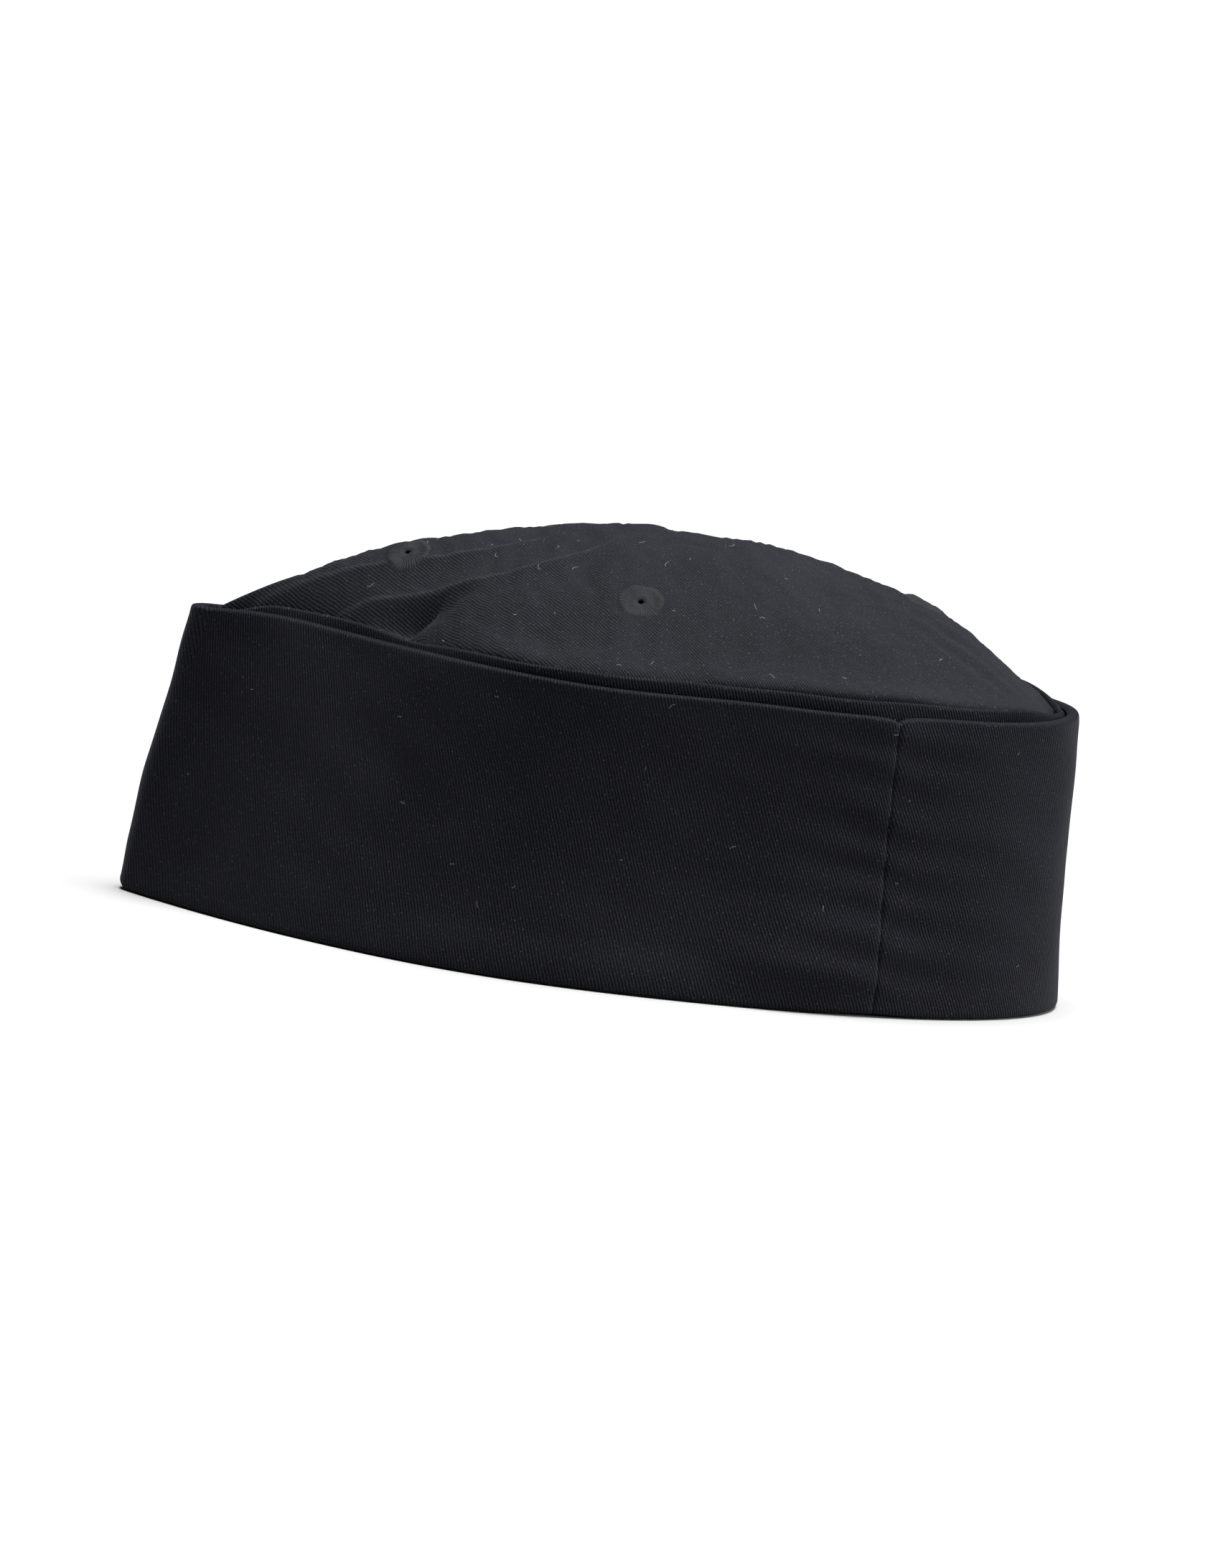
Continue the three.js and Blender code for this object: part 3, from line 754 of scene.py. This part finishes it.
def eyelet(name, spot):
    """A flattened ring: a closed loop of cloth depth and radius, turned round the hole, and
    ridged by the threads."""
    rings, turns = 40, THREADS * 6
    loop = np.linspace(0, 2 * math.pi, rings, endpoint=False)[None, :]
    angle = np.linspace(0, 2 * math.pi, turns, endpoint=False)[:, None]
    middle = (EYELET_OUTER + EYELET_HOLE) / 2
    half = (EYELET_OUTER - EYELET_HOLE) / 2
    rough = waves(np.cos(angle) * 0.02, np.sin(angle) * 0.02, 0.006, 50)
    thread = np.abs(np.sin(angle * THREADS / 2 + 0.6 * rough))
    radius = middle + half * np.cos(loop) * (1 + 0.02 * rough + 0.03 * (thread - 0.6))
    face = np.sign(np.sin(loop)) * np.abs(np.sin(loop)) ** 0.6
    rims = 0.00048 + 0.00026 * hump(radius - 0.0050, 0.0009)
    rims = rims + 0.00020 * hump(radius - 0.0017, 0.0007)
    depth = face * (rims + 0.00024 * (thread - 0.5) * (radius / EYELET_OUTER) ** 1.3)
    step = 0.003
    east, west = crown_height(spot.x + step, spot.y), crown_height(spot.x - step, spot.y)
    north, south = crown_height(spot.x, spot.y + step), crown_height(spot.x, spot.y - step)
    x_slope, y_slope = (east - west) / (2 * step), (north - south) / (2 * step)
    normal = np.array([-x_slope, -y_slope, 1.0])
    normal /= np.linalg.norm(normal)
    first = np.array([1.0, 0.0, x_slope])
    first /= np.linalg.norm(first)
    second = np.cross(normal, first)
    spoke = np.cos(angle)[..., None] * first + np.sin(angle)[..., None] * second
    offset = radius[..., None] * spoke
    x, y = spot.x + offset[..., 0], spot.y + offset[..., 1]
    base = np.stack([x, y, crown_height(x, y) + between(sunk, x, y)], -1)
    places = base + depth[..., None] * normal
    places = np.concatenate([places, places[:1]], 0)
    places = np.concatenate([places, places[:, :1]], 1)
    around = np.linspace(0, 2 * math.pi * EYELET_OUTER, turns + 1)[:, None]
    piece = grid_object(name, places[:, ::-1], around, np.linspace(0, 0.01, rings + 1))
    shape = bmesh.new()
    shape.from_mesh(piece.data)
    bmesh.ops.remove_doubles(shape, verts=shape.verts, dist=1e-7)
    bmesh.ops.recalc_face_normals(shape, faces=shape.faces)
    shape.to_mesh(piece.data)
    shape.free()
    piece.data.materials.append(black_thread)
    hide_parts(name)


def thread_paint(name, dark, light):
    """Spun thread: a soft gloss, with fine fibres that run along it."""
    paint = Paint(name, roughness=0.7, specular_ior_level=0.12)
    spot = paint.node("ShaderNodeTexCoord", {}, [], 3)
    fibre = paint.noise(spot, 0.0006, 3.0)
    paint.feed("Base Color", paint.blend(fibre, dark, light))
    paint.feed("Roughness", fibre * 0.2 + 0.62)
    paint.bump(fibre, 0.00006)
    return paint.material


black_thread = thread_paint("black embroidery thread", (0.0026, 0.0027, 0.0035, 1),
                            (0.0240, 0.0252, 0.0300, 1))
for name, spot in EYELETS.items():
    eyelet(name, spot)

# ---- Sweatband ----
# A band of plain black cotton round the forehead and sides, sewn in at the bottom edge,
# with its top edge turned under.

SWEAT_MIDDLE = 0.0008  # out from the line inside every layer
black_cotton = felt("black cotton", (0.008, 0.008, 0.0095, 1), (0.019, 0.019, 0.022, 1))
sweat_low, sweat_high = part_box("sweatband")
casing_low, casing_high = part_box("elastic_casing")
left = fine_path >= 0
casing_start = float(np.interp(
    casing_low.x + 0.001, place(fine_path, sweat_high.z / 2, 0.0013)[left, 0],
    fine_length[left]))


def band_profile(low, high, middle, roll, rows):
    """Straight up, with the top edge turned over inwards and a little way down."""
    over = np.linspace(0, math.pi, 7)
    rise = np.linspace(low, high - roll, rows)
    out = np.concatenate([np.full(rows, middle), middle - roll * (1 - np.cos(over[1:])),
                          [middle - 2 * roll] * 3])
    up = np.concatenate([rise, rise[-1] + roll * np.sin(over[1:]),
                         rise[-1] - np.array([0.002, 0.0045, 0.007])])
    return out, up


out, high = band_profile(sweat_low.z, sweat_high.z, SWEAT_MIDDLE, 0.0004, 16)
length = np.linspace(-casing_start, casing_start, 320)[:, None]
out = out - 0.0003 * (1 + waves(length, high, 0.03, 60)) * ease(high / 0.02)
places = place(path_at(length), high + 0 * length, out)
sweatband = thicken(grid_object("sweatband", places, length, high + 0 * length), 0.0006)
sweatband.data.materials.append(black_cotton)
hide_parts("sweatband")

# ---- Back elastic ----
# A ribbed elastic runs in a cotton casing across the back, and gathers the casing when it
# is slack.

GATHER = 0.0062  # from one gather to the next
casing_end = round_length - casing_start
rows = np.linspace(0, 2 * math.pi, 49)
length = np.linspace(casing_start, casing_end, 200)[:, None]
tall, thick = (casing_high.z - casing_low.z) / 2, 0.00095
gather = np.sin(2 * math.pi * length / GATHER + 1.6 * waves(length, length * 0, 0.02, 61))
box = np.sign(np.sin(rows)) * np.abs(np.sin(rows)) ** 0.6
face = np.sign(np.cos(rows)) * np.abs(np.cos(rows)) ** 0.25
# The section is a rounded box round the elastic, and its inner face and edges are gathered.
out = 0.0001 + thick * face + 0.00045 * gather * (face < 0) * np.abs(box) ** 0.3
high = (casing_high.z + casing_low.z) / 2 + tall * box + 0.0004 * gather * (np.abs(box) > 0.9)
places = place(path_at(length), high, out)
casing = thicken(grid_object("elastic_casing", places[:, ::-1], length, high), 0.0005)
casing.data.materials.append(black_cotton)
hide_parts("elastic_casing")

elastic_low, elastic_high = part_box("back_elastic")
ribbed = felt("ribbed elastic", (0.02, 0.02, 0.022, 1), (0.045, 0.045, 0.048, 1))
high = np.linspace(elastic_low.z, elastic_high.z, 60)
length = np.linspace(casing_start + 0.001, casing_end - 0.001, 120)[:, None]
places = place(path_at(length), high, 0.00005 * np.sin(high / 0.0002) + 0 * length)
elastic = thicken(grid_object("back_elastic", places, length, high + 0 * length), 0.0008)
elastic.data.materials.append(ribbed)
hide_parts("back_elastic")

# ---- Crown seam tape ----
# Black cotton tape bound over the raw edges where the crown meets the wall.

TAPE_UNDER = 0.0006  # its top edge, below the seam
TAPE_OUT = 0.0009  # out from the line inside every layer
tape_low, tape_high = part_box("crown_seam_tape")
high = np.linspace(tape_low.z, tape_high.z, 12)
length = np.linspace(-round_length / 2 + 0.0005, round_length / 2 - 0.0005, 420)[:, None]
room = ease((np.abs(length) - 0.01) / 0.03)
loose = room * (1 + waves(length, high, 0.015, 62)) * ease((high - tape_low.z) / 0.002)
out = TAPE_OUT - 0.0005 * loose
seam = place(path_at(length), tape_high.z, TAPE_OUT)
high = high + np.minimum(seam_height(seam[..., 0], seam[..., 1]) - TAPE_UNDER - tape_high.z, 0)
places = place(path_at(length), high, out)
tape = thicken(grid_object("crown_seam_tape", places, length, high + 0 * length), 0.0006)
tape.data.materials.append(black_cotton)
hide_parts("crown_seam_tape")

# ---- Care label ----
# A blank white satin label, held by the seam tape over the wearer's left ear.

label_low, label_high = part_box("care_label")
white_satin = felt("white satin", (0.70, 0.69, 0.65, 1), (0.82, 0.81, 0.78, 1))
label_path = np.linspace(0, HALF_PATH, 4001)
label_line = place(label_path, (label_low.z + label_high.z) / 2, 0.001)
label_from, label_to = np.interp(
    [label_low.x + 0.0005, label_high.x - 0.0005], label_line[:, 0], length_at(label_path))
length = np.linspace(label_from, label_to, 30)[:, None]
high = np.linspace(label_low.z, label_high.z, 34)
curl = ease((label_high.z - high) / 0.026)
out = 0.00095 - 0.0012 * curl - 0.0006 * curl * np.sin(length / 0.006)
places = place(path_at(length), high, out)
label = thicken(grid_object("care_label", places, length, high + 0 * length), 0.0003)
label.data.materials.append(white_satin)
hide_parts("care_label")

# ---- Floor, light and camera ----
# A plain pale floor under soft studio light, seen from the wearer's left, a little above the cuff.

FLOOR_SIZE = 40
bpy.ops.mesh.primitive_plane_add(size=FLOOR_SIZE, location=(0, 0, -0.0002))
floor = bpy.context.object
floor.name = "floor"
floor_paint = Paint("pale floor", roughness=0.9, base_color=(0.38, 0.38, 0.38, 1))
floor.data.materials.append(floor_paint.material)

world = bpy.data.worlds.new("studio")
bpy.context.scene.world = world
world.use_nodes = True
world.node_tree.nodes["Background"].inputs[0].default_value = (1, 1, 1, 1)
world.node_tree.nodes["Background"].inputs[1].default_value = 0.05


def soft_light(name, direction, spread, strength):
    """A far, wide light that shines from a direction."""
    light = bpy.data.lights.new(name, "SUN")
    light.energy, light.angle = strength, math.radians(spread)
    lamp = bpy.data.objects.new(name, light)
    lamp.rotation_mode = "QUATERNION"
    lamp.rotation_quaternion = Vector(direction).to_track_quat("Z", "Y")
    bpy.context.scene.collection.objects.link(lamp)


soft_light("top", (0.08, 0.03, 1.0), 35, 8.1)
soft_light("low front", (0.85, -0.50, 0.30), 16, 0.8)
soft_light("side", (1.0, 0.05, 0.3), 30, 1.5)

VIEW_DISTANCE = 4.0
VIEW_RISE = math.radians(8)
VIEW_ROLL = math.radians(7.2)
VIEW_HEIGHT = 0.397  # how much of the scene the view holds from top to bottom
VIEW_MIDDLE = Vector((0.0003, 0, 0.0418))
camera_data = bpy.data.cameras.new("camera")
camera_data.lens = camera_data.sensor_width * VIEW_DISTANCE / VIEW_HEIGHT
camera_data.clip_end = 50
camera = bpy.data.objects.new("camera", camera_data)
bpy.context.scene.collection.objects.link(camera)
bpy.context.scene.camera = camera
camera.rotation_mode = "QUATERNION"
tilt = Quaternion((1, 0, 0), math.pi / 2 - VIEW_RISE)
camera.rotation_quaternion = tilt @ Quaternion((0, 0, 1), VIEW_ROLL)
camera.location = VIEW_MIDDLE + tilt @ Vector((0, 0, VIEW_DISTANCE))

bpy.context.scene.view_settings.view_transform = "Standard"
